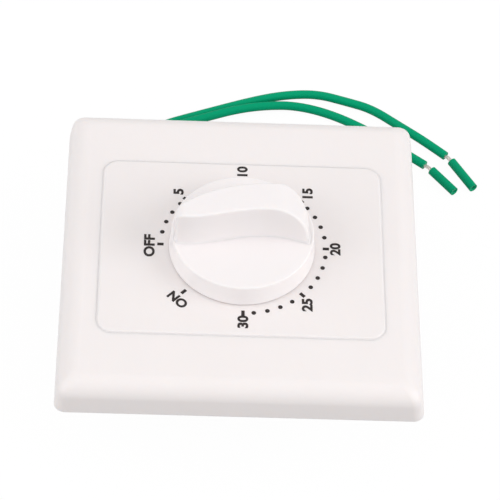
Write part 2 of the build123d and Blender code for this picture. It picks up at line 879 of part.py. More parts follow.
with BuildPart() as moving_root:
    block(
        (block_left, leaf_y, blade_z),
        (block_right, leaf_y + blade_thickness, blade_top),
    )
    block(
        (moving_tab_x - tab_width / 2, leaf_y, tab_z),
        (moving_tab_x + tab_width / 2, leaf_y + blade_thickness, blade_z),
    )
    block(
        (moving_tab_x - tab_width / 2, leaf_y, tab_z),
        (moving_tab_x + tab_width / 2, block_far + tab_length, tab_z + tab_thickness),
    )
keep(moving_root, "moving_root")

with BuildPart() as contact_block:
    block((block_left, block_near, block_low), (block_right, block_far, back_plate_z))
    add(fixed_blade.part, mode=Mode.SUBTRACT)
    add(moving_root.part, mode=Mode.SUBTRACT)
    for place in block_screw_places:
        rod(screw_shank + pilot_gap, block_low, back_plate_z, place, Mode.SUBTRACT)
        rod(screw_head + hole_gap, block_low, block_low + block_screw_seat, place, Mode.SUBTRACT)
keep(contact_block, "contact_block")

with BuildPart() as block_screws:
    pan_screws(block_screw_places, block_low + block_screw_seat, block_screw_length)
keep(block_screws, "block_screws")

# Moving leaf, hinged at the block's edge, with its follower pad and rivet
leaf_start = block_right + leaf_gap
pad_tip_y = cam_radius + pad_gap

with BuildPart() as contact_leaf:
    block((leaf_start, leaf_y, blade_z), (blade_tip, leaf_y + blade_thickness, blade_top))
keep(contact_leaf, "contact_leaf")

with BuildPart() as follower_pad:
    with BuildSketch(Plane.XY.offset(blade_z + pad_inset)):
        with BuildLine():
            Line((-pad_width / 2, leaf_y), (pad_width / 2, leaf_y))
            ThreePointArc((pad_width / 2, leaf_y), (0, pad_tip_y), (-pad_width / 2, leaf_y))
        make_face()
    extrude(amount=blade_height - 2 * pad_inset)
keep(follower_pad, "follower_pad")

rivet_x = blade_tip - rivet_inset
rivet_z = blade_z + blade_height / 2


def rivet(face_y, toward):
    """A round contact rivet that stands on a blade's face and points along Y."""
    with BuildSketch(Plane((rivet_x, face_y, rivet_z), z_dir=(0, toward, 0))) as head:
        Circle(rivet_radius)
    extrude(head.sketch, amount=rivet_height)


with BuildPart() as moving_rivet:
    rivet(leaf_y + blade_thickness, 1)
    fillet(moving_rivet.faces().sort_by(Axis.Y)[-1].edges(), rivet_edge)
keep(moving_rivet, "moving_rivet")

with BuildPart() as fixed_rivet:
    rivet(fixed_blade_y, -1)
    fillet(fixed_rivet.faces().sort_by(Axis.Y)[0].edges(), rivet_edge)
keep(fixed_rivet, "fixed_rivet")

# Grommet through the case wall, with the two lead bores
grommet_inner_y = inner_y - grommet_nose
grommet_outer_y = case_y / 2 + grommet_flange_depth

with BuildPart() as grommet:
    block(
        (lead_exit_x - grommet_x / 2, grommet_inner_y, lead_exit_z - grommet_z / 2),
        (lead_exit_x + grommet_x / 2, case_y / 2, lead_exit_z + grommet_z / 2),
    )
    flange_x = grommet_x / 2 + grommet_flange
    flange_z = grommet_z / 2 + grommet_flange
    block(
        (lead_exit_x - flange_x, case_y / 2, lead_exit_z - flange_z),
        (lead_exit_x + flange_x, grommet_outer_y, lead_exit_z + flange_z),
    )
    fillet(grommet.faces().sort_by(Axis.Y)[-1].edges(), grommet_edge)
    bore_plane = Plane((lead_exit_x, grommet_inner_y, lead_exit_z), x_dir=(1, 0, 0), z_dir=(0, 1, 0))
    with BuildSketch(bore_plane):
        with Locations((-lead_exit_pitch / 2, 0), (lead_exit_pitch / 2, 0)):
            Circle(lead_diameter / 2 + lead_bore_gap)
    extrude(amount=grommet_outer_y - grommet_inner_y, mode=Mode.SUBTRACT)
keep(grommet, "grommet")

# Lead tails inside the case, from the grommet's outer face to the tabs
tail_end_y = block_far + tab_length + tail_gap


def tube_along(radius, near_y, far_y, x):
    plane = Plane((x, near_y, lead_exit_z), x_dir=(1, 0, 0), z_dir=(0, 1, 0))
    with BuildSketch(plane) as section:
        Circle(radius)
    extrude(section.sketch, amount=far_y - near_y)


with BuildPart() as lead_tails:
    for x in lead_places:
        tube_along(lead_diameter / 2, tail_end_y, grommet_outer_y, x)
keep(lead_tails, "lead_tails")

with BuildPart() as tail_strands:
    for x in lead_places:
        tube_along(strand_diameter / 2, tail_end_y - tail_strand, tail_end_y, x)
keep(tail_strands, "tail_strands")

# Solder over each strand end, on its tab
with BuildPart() as solder_joints:
    for x in lead_places:
        solder_y = tail_end_y - tail_strand + solder_radius - solder_over
        solder_top = lead_exit_z + strand_diameter / 2 + solder_cover
        rod(solder_radius, tab_z + tab_thickness, solder_top, (x, solder_y))
    add(tail_strands.part, mode=Mode.SUBTRACT)
keep(solder_joints, "solder_joints")

# Knob: a drafted skirt with a shallow round floor and one S-curved grip that points at OFF
grip_low_z = knob_floor_z - grip_root
grip_upper_z = knob_floor_z + (grip_top_z - knob_floor_z) / 4
skirt_taper = math.degrees(
    math.atan((knob_base_radius - knob_floor_radius) / (knob_floor - knob_lift))
)
clip_far_y = arbor_flat + knob_clip_thickness + 2 * fitted_gap
wall_line = [(-16.1, -3.6), (-12.5, -3.95), (-4.1, -2.35), (5.3, -1.0), (11.0, -1.6), (15.6, -3.05)]
round_end = [(15.2, 2.3), (10.0, 7.1)]
rear_line = [(10.0, 7.1), (4.0, 6.9), (-2.1, 6.0), (-9.2, 3.5), (-13.6, 0.8)]
pointer_end = (-15.8, -1.3)

with BuildPart() as grip:
    with BuildSketch(Plane.XY.offset(grip_low_z)):
        with BuildLine():
            Spline(*wall_line)
            ThreePointArc(wall_line[-1], *round_end)
            Spline(*rear_line)
            ThreePointArc(rear_line[-1], pointer_end, wall_line[0])
        make_face()
    extrude(amount=grip_top_z - grip_low_z)
    fillet(grip.edges().filter_by(Axis.Z).sort_by(Axis.X)[0], grip_nose_edge)
    over_z = grip_top_z + grip_root
    with BuildSketch(Plane.XZ.offset(-knob_base_radius)):
        with BuildLine():
            nose_x = grip_nose_x + grip_nose_radius
            nose_z = grip_top_z - grip_nose_radius
            nose_diagonal = grip_nose_radius * math.sqrt(0.5)
            ThreePointArc(
                (nose_x, grip_top_z),
                (nose_x - nose_diagonal, nose_z + nose_diagonal),
                (grip_nose_x, nose_z),
            )
            Line((grip_nose_x, nose_z), (2 * grip_nose_x, nose_z))
            Line((2 * grip_nose_x, nose_z), (2 * grip_nose_x, over_z))
            Line((2 * grip_nose_x, over_z), (nose_x, over_z))
            Line((nose_x, over_z), (nose_x, grip_top_z))
        make_face()
        with BuildLine():
            arc_x = grip_end_x - grip_end_radius
            arc_z = grip_top_z - grip_end_radius
            over_x = grip_end_x + knob_wall
            diagonal = grip_end_radius * math.sqrt(0.5)
            ThreePointArc(
                (arc_x, grip_top_z), (arc_x + diagonal, arc_z + diagonal), (grip_end_x, arc_z)
            )
            Line((grip_end_x, arc_z), (over_x, grip_low_z))
            Line((over_x, grip_low_z), (2 * over_x, over_z))
            Line((2 * over_x, over_z), (arc_x, over_z))
            Line((arc_x, over_z), (arc_x, grip_top_z))
        make_face()
    extrude(amount=2 * knob_base_radius, mode=Mode.SUBTRACT)
    upper_edges = grip.edges().filter_by(lambda edge: edge.center().Z > grip_upper_z)
    fillet(upper_edges, grip_edge)

with BuildPart() as knob:
    with BuildSketch(Plane.XY.offset(knob_z)):
        Circle(knob_base_radius)
    extrude(amount=knob_floor - knob_lift, taper=skirt_taper)
    fillet(knob.edges().sort_by(Axis.Z)[-1], knob_edge)
    with BuildSketch(Plane.XY.offset(knob_z)):
        Circle(knob_floor_radius - knob_wall)
        Circle(knob_hub_radius, mode=Mode.SUBTRACT)
    extrude(amount=knob_floor - knob_lift - knob_web, mode=Mode.SUBTRACT)
    add(grip.part)
    rod(knob_hub_radius, knob_hub_z, knob_z)
    rod(arbor_radius + running_gap, knob_hub_z, knob_bore_z, mode=Mode.SUBTRACT)
    block(
        (-arbor_radius, clip_far_y, knob_hub_z),
        (arbor_radius, arbor_radius + running_gap, knob_bore_z),
    )
keep(knob, "knob")

# Flat spring between the arbor's flat and the knob's bore
with BuildPart() as knob_clip:
    block(
        (-knob_clip_width / 2, arbor_flat + fitted_gap, knob_hub_z + knob_clip_inset),
        (knob_clip_width / 2, clip_far_y - fitted_gap, arbor_high - knob_clip_inset),
    )
keep(knob_clip, "knob_clip")

# Leads: routes by hand, each corner's arc as large as its runs allow
rest_z = slug_diameter / 2
long_route = [
    (lead_places[0], grommet_outer_y, lead_exit_z),
    (lead_places[0], 31.0, lead_exit_z),
    (-19.3, 37.7, 5.6),
    (-24.0, 44.7, 3.9),
    (-26.6, 52.7, 2.3),
    (-25.4, 59.4, 1.4),
    (-21.0, 64.6, rest_z),
    (-9.5, 69.2, rest_z),
    (5.0, 74.8, rest_z),
    (13.5, 77.0, rest_z),
    (21.5, 77.5, rest_z),
    (29.0, 75.2, rest_z),
    (35.8, 72.9, rest_z),
    (43.0, 67.2, rest_z),
    (49.6, 62.1, rest_z),
    (54.9, 57.3, rest_z),
]
short_route = [
    (lead_places[1], grommet_outer_y, lead_exit_z),
    (lead_places[1], 31.0, lead_exit_z),
    (-16.0, 37.6, 5.7),
    (-20.5, 44.4, 4.3),
    (-23.0, 51.9, 3.0),
    (-21.85, 58.4, 2.3),
    (-17.8, 63.6, 2.1),
    (-9.0, 67.1, 2.1),
    (0.0, 70.6, 2.1),
    (8.0, 72.6, 1.6),
    (15.5, 73.2, rest_z),
    (24.0, 70.9, rest_z),
    (33.0, 66.2, rest_z),
    (41.0, 60.3, rest_z),
    (49.3, 53.9, rest_z),
]


def corner_radii(points):
    radii = []
    for before, corner, after in zip(points, points[1:], points[2:]):
        run_in = Vector(*corner) - Vector(*before)
        run_out = Vector(*after) - Vector(*corner)
        turn = math.radians(run_in.get_angle(run_out))
        shorter = min(run_in.length, run_out.length)
        radii.append(0.45 * shorter / math.tan(turn / 2))
    return radii


def sweep_tube(points, diameter, label):
    # A round section swept along the route; prints its length, radii and volume
    radii = corner_radii(points)
    with BuildPart() as tube:
        with BuildLine() as path:
            FilletPolyline(*points, radius=radii)
        with BuildSketch(Plane(origin=path.line @ 0, z_dir=path.line % 0)):
            Circle(diameter / 2)
        sweep()
    length = sum(edge.length for edge in path.edges())
    share = tube.part.volume / (math.pi * diameter**2 / 4 * length)
    print(f"{label}: length {length:.1f} mm, volume share {share:.4f}")
    print(f"{label}: radii", [round(radius, 1) for radius in radii])
    keep(tube, label)


sweep_tube(long_route, lead_diameter, "long_lead")
sweep_tube(short_route, lead_diameter, "short_lead")


# Bare strands past each lead's end, bent towards the slug of insulation left on them
def along(point, degrees, distance):
    x, y = polar(distance, degrees, point[:2])
    return (x, y, point[2])


def lead_heading(route):
    return math.degrees(math.atan2(route[-1][1] - route[-2][1], route[-1][0] - route[-2][0]))


for name, route, slug_heading, slug_length in (
    ("long", long_route, long_slug_heading, long_slug_length),
    ("short", short_route, short_slug_heading, short_slug_length),
):
    bend = along(route[-1], lead_heading(route), bare_run)
    slug_start = along(bend, slug_heading, bare_run)
    sweep_tube([route[-1], bend, slug_start], strand_diameter, f"{name}_strand")
    slug_plane = Plane(
        origin=slug_start, z_dir=Vector(1, 0, 0).rotate(Axis.Z, slug_heading)
    )
    with BuildPart() as slug:
        with BuildSketch(slug_plane):
            Circle(slug_diameter / 2)
        extrude(amount=slug_length)
        with BuildSketch(slug_plane.offset(slug_length - slug_bore)):
            Circle(strand_diameter / 2 + slug_bore_gap)
        extrude(amount=slug_bore, mode=Mode.SUBTRACT)
    keep(slug, f"{name}_slug")
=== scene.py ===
import math
import bmesh
import bpy
from mathutils import Matrix, Vector


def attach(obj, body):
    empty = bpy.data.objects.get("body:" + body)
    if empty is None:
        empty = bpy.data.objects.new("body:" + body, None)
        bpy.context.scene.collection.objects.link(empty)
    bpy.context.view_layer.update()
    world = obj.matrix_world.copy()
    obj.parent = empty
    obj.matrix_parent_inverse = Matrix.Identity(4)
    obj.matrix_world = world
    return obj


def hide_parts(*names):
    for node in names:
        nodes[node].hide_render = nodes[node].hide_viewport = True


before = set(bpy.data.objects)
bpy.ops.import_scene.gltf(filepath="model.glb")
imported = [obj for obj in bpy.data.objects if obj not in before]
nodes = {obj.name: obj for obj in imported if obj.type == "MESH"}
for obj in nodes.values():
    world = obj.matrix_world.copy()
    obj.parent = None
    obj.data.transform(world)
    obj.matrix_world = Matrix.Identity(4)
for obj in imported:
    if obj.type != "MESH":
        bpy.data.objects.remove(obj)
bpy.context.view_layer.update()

mm = 0.001
print("timer switch: frame loaded with", len(nodes), "solids")

# a long lens from the front, well above the plate
camera = {
    "lens": 180.53,
    "sensor": 36.0,
    "near": 0.05,
    "far": 10.0,
    "place": (-0.019384, -0.367991, 0.505057),
    "right": (0.99891376, 0.00180773, 0.04656206),
    "down": (0.02999624, -0.78961837, -0.61286463),
    "forward": (0.03565836, 0.61359561, -0.78881488),
}


def linkThing(name, data):
    thing = bpy.data.objects.new(name, data)
    bpy.context.scene.collection.objects.link(thing)
    return thing


def addCamera():
    data = bpy.data.cameras.new("camera")
    data.lens = camera["lens"]
    data.sensor_width = camera["sensor"]
    data.clip_start, data.clip_end = camera["near"], camera["far"]
    thing = linkThing("camera", data)
    right, down, forward = (Vector(camera[key]) for key in ("right", "down", "forward"))
    turn = Matrix((right, -down, -forward)).transposed().to_4x4()
    thing.matrix_world = Matrix.Translation(camera["place"]) @ turn
    bpy.context.scene.camera = thing


addCamera()

# both leads, each one smooth line along the same points as its solid
leads = {
    "diameter": 2.32,
    "exitZ": 6.65,
    "exitY": 24.2,
    "bareRun": 1.25,
    "long": {
        "exitX": -15.6,
        "slugHeading": -59.0,
        "length": 0.1290,
        "points": [
            (-15.6, 31.0, 6.65), (-19.3, 37.7, 5.6), (-24.0, 44.7, 3.9), (-26.6, 52.7, 2.3),
            (-25.4, 59.4, 1.4), (-21.0, 64.6, 1.175), (-9.5, 69.2, 1.175), (5.0, 74.8, 1.175),
            (13.5, 77.0, 1.175), (21.5, 77.5, 1.175), (29.0, 75.2, 1.175), (35.8, 72.9, 1.175),
            (43.0, 67.2, 1.175), (49.6, 62.1, 1.175), (54.9, 57.3, 1.175),
        ],
    },
    "short": {
        "exitX": -12.4,
        "slugHeading": -51.0,
        "length": 0.1175,
        "points": [
            (-12.4, 31.0, 6.65), (-16.0, 37.6, 5.7), (-20.5, 44.4, 4.3), (-23.0, 51.9, 3.0),
            (-21.85, 58.4, 2.3), (-17.8, 63.6, 2.1), (-9.0, 67.1, 2.1), (0.0, 70.6, 2.1),
            (8.0, 72.6, 1.6), (15.5, 73.2, 1.175), (24.0, 70.9, 1.175), (33.0, 66.2, 1.175),
            (41.0, 60.3, 1.175), (49.3, 53.9, 1.175),
        ],
    },
}


def splineCurve(name, points, radius):
    data = bpy.data.curves.new(name, "CURVE")
    data.dimensions = "3D"
    data.resolution_u = 16
    data.bevel_depth = radius * mm
    data.bevel_resolution = 6
    data.use_fill_caps = radius > 0
    spline = data.splines.new("NURBS")
    spline.points.add(len(points) - 1)
    for place, point in zip(points, spline.points):
        point.co = (place[0] * mm, place[1] * mm, place[2] * mm, 1.0)
    spline.order_u = 3
    spline.use_endpoint_u = True
    return linkThing(name, data)


sleeves = {}
for which in ("long", "short"):
    lead = leads[which]
    route = [(lead["exitX"], leads["exitY"], leads["exitZ"])] + lead["points"]
    sleeves[which] = splineCurve(which + "LeadSleeve", route, leads["diameter"] / 2)
print("leads: routes laid")


def linearColour(hexValue):
    parts = [int(hexValue[i:i + 2], 16) / 255 for i in (1, 3, 5)]
    return tuple(c / 12.92 if c <= 0.04045 else ((c + 0.055) / 1.055) ** 2.4 for c in parts) + (1.0,)


def addNode(tree, kind, settings=None, links=None):
    # what feeds an input is a socket, a node's first output, or a list of these
    node = tree.nodes.new(kind)
    for key, value in (settings or {}).items():
        if isinstance(key, str) and hasattr(node, key):
            setattr(node, key, value)
        else:
            node.inputs[key].default_value = value
    for key, source in (links or {}).items():
        for one in source if isinstance(source, list) else [source]:
            tree.links.new(getattr(one, "outputs", [one])[0], node.inputs[key])
    return node


def newMaterial(name):
    material = bpy.data.materials.new(name)
    material.use_nodes = True
    tree = material.node_tree
    tree.nodes.clear()
    return material, tree


def newSizedTree(name, sizes, incoming=False):
    # a node tree with one named input for each size, and one for the material
    tree = bpy.data.node_groups.new(name, "GeometryNodeTree")
    tree.interface.new_socket(name="Geometry", in_out="OUTPUT", socket_type="NodeSocketGeometry")
    if incoming:
        tree.interface.new_socket(name="Geometry", in_out="INPUT", socket_type="NodeSocketGeometry")
    for size in sizes:
        tree.interface.new_socket(name=size, in_out="INPUT", socket_type="NodeSocketFloat")
    tree.interface.new_socket(name="material", in_out="INPUT", socket_type="NodeSocketMaterial")
    return tree, addNode(tree, "NodeGroupInput").outputs


def closeTree(tree, given, geometry, scale=1.0):
    scaled = addNode(
        tree, "GeometryNodeTransform", {"Scale": (scale, scale, scale)}, {"Geometry": geometry},
    )
    real = addNode(tree, "GeometryNodeRealizeInstances", {}, {"Geometry": scaled})
    painted = addNode(
        tree, "GeometryNodeSetMaterial", {}, {"Geometry": real, "Material": given["material"]},
    )
    addNode(tree, "NodeGroupOutput", {}, {"Geometry": painted})


def runTree(thing, tree, sizes, material):
    modifier = thing.modifiers.new(tree.name, "NODES")
    modifier.node_group = tree
    for socket in tree.interface.items_tree:
        if socket.in_out == "INPUT" and socket.name in sizes:
            modifier[socket.identifier] = float(sizes[socket.name])
        if socket.in_out == "INPUT" and socket.name == "material":
            modifier[socket.identifier] = material
    return plainMesh(thing)


def newMeshObject(name, build=None):
    mesh = bpy.data.meshes.new(name)
    bm = bmesh.new()
    if build:
        build(bm)
    bm.to_mesh(mesh)
    bm.free()
    return linkThing(name, mesh)


def plainMesh(thing):
    # swaps what the modifiers make for a plain mesh
    graph = bpy.context.evaluated_depsgraph_get()
    mesh = bpy.data.meshes.new_from_object(thing.evaluated_get(graph))
    if thing.type == "MESH":
        thing.modifiers.clear()
        thing.data = mesh
        return thing
    name = thing.name
    bpy.data.objects.remove(thing)
    return linkThing(name, mesh)


def softShade(thing, angle=32.0):
    # round edges shade as one surface, and the flats beside them stay flat
    thing.data.shade_smooth()
    thing.data.set_sharp_from_angle(angle=math.radians(angle))
    weighted = thing.modifiers.new("weighted", "WEIGHTED_NORMAL")
    weighted.keep_sharp = True
    weighted.weight = 80
    return plainMesh(thing)


def finishPiece(thing, material, body, replaced=()):
    thing.data.materials.clear()
    thing.data.materials.append(material)
    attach(thing, body)
    if replaced:
        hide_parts(*replaced)
    return thing


# a mould's orange peel is finer in life, and is drawn this coarse so that it shows
moulded = {
    "ior": 1.53,
    "grainMm": 0.35,
    "grainDepthMm": 0.006,
    "grainStrength": 0.35,
    "blotchMm": 14.0,
    "glowDepthMm": 1.2,
    "glowRadius": (1.0, 0.9, 0.8),
    "smoother": 0.04,
    "rougher": 0.05,
}


def mouldedPlastic(name, colour, roughness, grain=1.0, blotch=0.02, glow=0.0, gloss=0.4):
    # an even body colour, a soft broad gloss and the faint orange peel of the mould's skin
    material, tree = newMaterial(name)
    place = addNode(tree, "ShaderNodeTexCoord").outputs["Object"]
    blotches = addNode(
        tree, "ShaderNodeTexNoise", {"Scale": 1000 / moulded["blotchMm"], "Detail": 3.0},
        {"Vector": place},
    )
    base = linearColour(colour)
    deeper = tuple(c * (1 - blotch) for c in base[:3]) + (1.0,)
    tint = addNode(
        tree, "ShaderNodeMix", {"data_type": "RGBA", 6: deeper, 7: base}, {0: blotches.outputs["Fac"]},
    )
    grains = addNode(
        tree, "ShaderNodeTexNoise", {"Scale": 1000 / moulded["grainMm"], "Detail": 2.0},
        {"Vector": place},
    )
    sheen = addNode(
        tree, "ShaderNodeMapRange",
        {"To Min": roughness - moulded["smoother"], "To Max": roughness + moulded["rougher"]},
        {"Value": grains.outputs["Fac"]},
    )
    bump = addNode(
        tree, "ShaderNodeBump",
        {"Strength": moulded["grainStrength"] * grain, "Distance": moulded["grainDepthMm"] * mm},
        {"Height": grains.outputs["Fac"]},
    )
    shader = addNode(
        tree, "ShaderNodeBsdfPrincipled",
        {"IOR": moulded["ior"], "Specular IOR Level": gloss, "Subsurface Weight": glow,
         "Subsurface Scale": moulded["glowDepthMm"] * mm, "Subsurface Radius": moulded["glowRadius"]},
        {"Base Color": tint.outputs[2], "Roughness": sheen, "Normal": bump},
    )
    addNode(tree, "ShaderNodeOutputMaterial", {}, {"Surface": shader})
    return material


# a cell of the noise spans four streaks, and its finer octaves draw the single ones
rolled = {"streaksInCell": 4, "smoother": 0.06, "rougher": 0.1}


def rolledMetal(name, colour, roughness, streakMm=0.4, stretch=12.0, mottle=0.08):
    # fine streaks one way, as from the rolls or the lathe, which draw the light into a soft line
    material, tree = newMaterial(name)
    place = addNode(tree, "ShaderNodeTexCoord").outputs["Object"]
    drawn = addNode(tree, "ShaderNodeMapping", {"Scale": (1.0, stretch, 1.0)}, {"Vector": place})
    streaks = addNode(
        tree, "ShaderNodeTexNoise", {"Scale": 1000 / streakMm / rolled["streaksInCell"], "Detail": 4.0},
        {"Vector": drawn},
    )
    base = linearColour(colour)
    deeper = tuple(c * (1 - mottle) for c in base[:3]) + (1.0,)
    tint = addNode(
        tree, "ShaderNodeMix", {"data_type": "RGBA", 6: deeper, 7: base}, {0: streaks.outputs["Fac"]},
    )
    sheen = addNode(
        tree, "ShaderNodeMapRange",
        {"To Min": roughness - rolled["smoother"], "To Max": roughness + rolled["rougher"]},
        {"Value": streaks.outputs["Fac"]},
    )
    shader = addNode(
        tree, "ShaderNodeBsdfPrincipled", {"Metallic": 1.0},
        {"Base Color": tint.outputs[2], "Roughness": sheen},
    )
    addNode(tree, "ShaderNodeOutputMaterial", {}, {"Surface": shader})
    return material


# ABS from a fine mould: clean off-white with a soft satin gloss, with a little light in its edges
absFrame = mouldedPlastic("mouldedAbsFrame", "#F4EEED", 0.38, glow=0.3)
# the same ABS behind the print, a shade flatter
absPanel = mouldedPlastic("mouldedAbsPanel", "#F3EDEC", 0.40, glow=0.3)
# ABS from a polished mould: the whitest and glossiest piece
absKnob = mouldedPlastic("mouldedAbsKnob", "#F6F1F1", 0.34, grain=0.8, glow=0.3)
# ABS from a plain mould: greyer and dull, with a coarser skin
absCase = mouldedPlastic("mouldedAbsCase", "#E9E4DF", 0.55, grain=1.6, blotch=0.05)
# unfilled nylon: yellowish, milky and waxy
nylonCam = mouldedPlastic("mouldedNylon", "#E4DFCF", 0.5)
# phenolic resin: dark brown with cloudy filler
phenolic = mouldedPlastic("mouldedPhenolic", "#3A241B", 0.45, blotch=0.25)
# rubber: near black and matt, dusty in patches
rubber = mouldedPlastic("mouldedRubber", "#2B2A2A", 0.7, grain=1.5, blotch=0.15)
# PVC drawn over the wires: a full green that hardly mirrors its white surroundings
pvcGreen = mouldedPlastic("extrudedPvc", "#00A374", 0.45, grain=0.6, blotch=0.12, gloss=0.06)
# ink laid on by screen: soft black, slightly uneven in depth
inkBlack = mouldedPlastic("screenPrintInk", "#2A2221", 0.55, grain=0.4, blotch=0.15)
# brass sheet: warm yellow with fine lines along the roll
brassSheet = rolledMetal("rolledBrass", "#C9A24E", 0.34)
# mild steel sheet and bar: plain grey, faintly lined
steelSheet = rolledMetal("rolledSteel", "#A9A9A6", 0.36)
# tempered spring strip: blue grey and rather bright
steelSpring = rolledMetal("blueSpringSteel", "#5E6672", 0.30)
# zinc plate on screws: pale and mottled, with no lines
zincScrew = rolledMetal("zincPlatedSteel", "#C7C6C2", 0.30, streakMm=1.5, stretch=1.0, mottle=0.14)
# tinned copper wire: whitish silver, dulled by handling
tinnedCopper = rolledMetal("tinnedCopper", "#ECE6E0", 0.42, streakMm=0.3)
# solder that has flowed: bright grey, with no lines
solderTin = rolledMetal("solderTin", "#C4C5C6", 0.25, streakMm=1.0, stretch=1.0)
# silver of the contacts: light and clean, with short fine lines
silverContact = rolledMetal("silverContact", "#D9D8D4", 0.28, streakMm=0.5)
print("materials: made")

# every solid left out of this list is steel
nodeMaterials = {
    nylonCam: ["cam", "follower_pad"],
    phenolic: ["contact_block"],
    rubber: ["grommet"],
    pvcGreen: ["lead_tails"],
    tinnedCopper: ["tail_strands"],
    solderTin: ["solder_joints"],
    silverContact: ["fixed_rivet", "moving_rivet"],
    steelSpring: ["mainspring"],
    absCase: ["case_shell", "rear_lid"],
    absPanel: ["base_plate"],
    absFrame: ["cover_frame"],
    absKnob: ["knob"],
    brassSheet: [
        "main_wheel", "second_wheel", "escape_wheel", "wheel_bush", "second_bush", "escape_bush",
        "fixed_blade", "moving_root", "contact_leaf", "wheel_clip",
    ],
    zincScrew: ["lid_screws", "case_screws", "movement_screws", "block_screws"],
}
for thing in nodes.values():
    thing.data.materials.clear()
    thing.data.materials.append(steelSheet)
for material, names in nodeMaterials.items():
    for name in names:
        nodes[name].data.materials[0] = material


def smoothCopy(name, pieceName, material, body, angle=32.0):
    # a moulded solid's own shape, merged so that its rounded edges shade as one surface
    mesh = nodes[name].data.copy()
    bm = bmesh.new()
    bm.from_mesh(mesh)
    bmesh.ops.remove_doubles(bm, verts=bm.verts, dist=1e-6)
    bm.to_mesh(mesh)
    bm.free()
    mesh.name = pieceName
    thing = linkThing(pieceName, mesh)
    softShade(thing, angle)
    return finishPiece(thing, material, body, [name])


smoothCopy("base_plate", "basePlate", absPanel, "housing", angle=18.0)
smoothCopy("case_shell", "caseShell", absCase, "housing")
smoothCopy("rear_lid", "rearLid", absCase, "housing")
smoothCopy("grommet", "leadGrommet", rubber, "housing")
print("plate, case and lid: smoothed")

# cover frame: rounded squares stacked up its drafted side, over the shoulder and round the window
cover = {
    "half": 43.0,
    "rimZ": 24.0,
    "frontZ": 32.6,
    "draft": 9.5,
    "corner": 2.6,
    "cornerLoss": 0.6,
    "shoulder": 5.0,
    "shoulderSteps": 14,
    "cornerSteps": 12,
    "foot": 0.25,
    "footSide": 0.05,
    "rimHalf": 41.0,
    "ledgeZ": 26.5,
    "innerHalf": 39.2,
    "frontWall": 2.0,
    "windowX": 34.0,
    "windowY": 26.1,
    "windowCorner": 4.0,
    "lipRadius": 0.02,
    "lipTurns": (90, 60, 30, 0),
    "catches": [(x, y) for x in (-20.0, 20.0) for y in (-36.8, 36.8)],
    "catchHalf": (3.8, 0.9),
    "catchZ": (24.8, 30.8),
    "sharpAngle": 28.0,
}


def roundedRing(bm, halfX, halfY, corner, z):
    ring = []
    steps = cover["cornerSteps"]
    for quarter, (sideX, sideY) in enumerate(((1, 1), (-1, 1), (-1, -1), (1, -1))):
        for step in range(steps + 1):
            turn = math.radians(90 * quarter + 90 * step / steps)
            x = sideX * (halfX - corner) + corner * math.cos(turn)
            y = sideY * (halfY - corner) + corner * math.sin(turn)
            ring.append(bm.verts.new((x * mm, y * mm, z * mm)))
    return ring


def joinRings(bm, rings, closed=True):
    for low, high in zip(rings, rings[1:] + (rings[:1] if closed else [])):
        count = len(low)
        for index in range(count):
            after = (index + 1) % count
            bm.faces.new((low[index], low[after], high[after], high[index]))


def addBlock(bm, low, high):
    made = bmesh.ops.create_cube(bm, size=1.0)
    for vert in made["verts"]:
        vert.co = Vector([(low[k] + (high[k] - low[k]) * (vert.co[k] + 0.5)) * mm for k in range(3)])


def buildCover(bm):
    slope = math.tan(math.radians(cover["draft"]))
    reach = cover["shoulder"] * math.tan(math.radians((90 - cover["draft"]) / 2))
    centreHalf = cover["half"] - (cover["frontZ"] - cover["rimZ"]) * slope - reach
    centreZ = cover["frontZ"] - cover["shoulder"]
    outlines = [
        (cover["half"] - cover["foot"], cover["corner"], cover["rimZ"]),
        (cover["half"] - cover["footSide"], cover["corner"], cover["rimZ"] + cover["foot"]),
    ]
    for step in range(cover["shoulderSteps"] + 1):
        turn = math.radians(cover["draft"] + (90 - cover["draft"]) * step / cover["shoulderSteps"])
        outlines.append((
            centreHalf + cover["shoulder"] * math.cos(turn),
            cover["corner"] - cover["cornerLoss"] * math.sin(turn),
            centreZ + cover["shoulder"] * math.sin(turn),
        ))
    rings = [roundedRing(bm, half, half, corner, z) for half, corner, z in outlines]
    windowX, windowY, windowCorner = cover["windowX"], cover["windowY"], cover["windowCorner"]
    for turn in cover["lipTurns"]:
        away = cover["lipRadius"] * (1 - math.cos(math.radians(turn)))
        level = cover["frontZ"] - cover["lipRadius"] * (1 - math.sin(math.radians(turn)))
        rings.append(roundedRing(bm, windowX + away, windowY + away, windowCorner + away, level))
    underZ = cover["frontZ"] - cover["frontWall"]
    rings.append(roundedRing(bm, windowX, windowY, windowCorner, underZ))
    pocket = cover["innerHalf"] - (underZ - cover["ledgeZ"]) * slope
    inside = [
        (pocket, cover["corner"] - cover["cornerLoss"], underZ),
        (cover["innerHalf"], cover["corner"], cover["ledgeZ"]),
        (cover["rimHalf"], cover["corner"] / 2, cover["ledgeZ"]),
        (cover["rimHalf"], cover["corner"] / 2, cover["rimZ"]),
    ]
    rings += [roundedRing(bm, half, half, corner, z) for half, corner, z in inside]
    joinRings(bm, rings)
    halfX, halfY = cover["catchHalf"]
    lowZ, highZ = cover["catchZ"]
    for x, y in cover["catches"]:
        addBlock(bm, (x - halfX, y - halfY, lowZ), (x + halfX, y + halfY, highZ))
    bmesh.ops.recalc_face_normals(bm, faces=bm.faces)


coverFrame = softShade(newMeshObject("coverFrame", buildCover), cover["sharpAngle"])
finishPiece(coverFrame, absFrame, "cover", ["cover_frame"])

# the panel's own thin step, which closes the seam level with the frame and rises to the panel
seam = {
    "innerX": 33.7,
    "innerY": 25.8,
    "corner": 3.7,
    "step": 0.29,
    "z": 32.6,
    "rise": 0.1,
    "thickness": 0.4,
    "sharpAngle": 28.0,
}


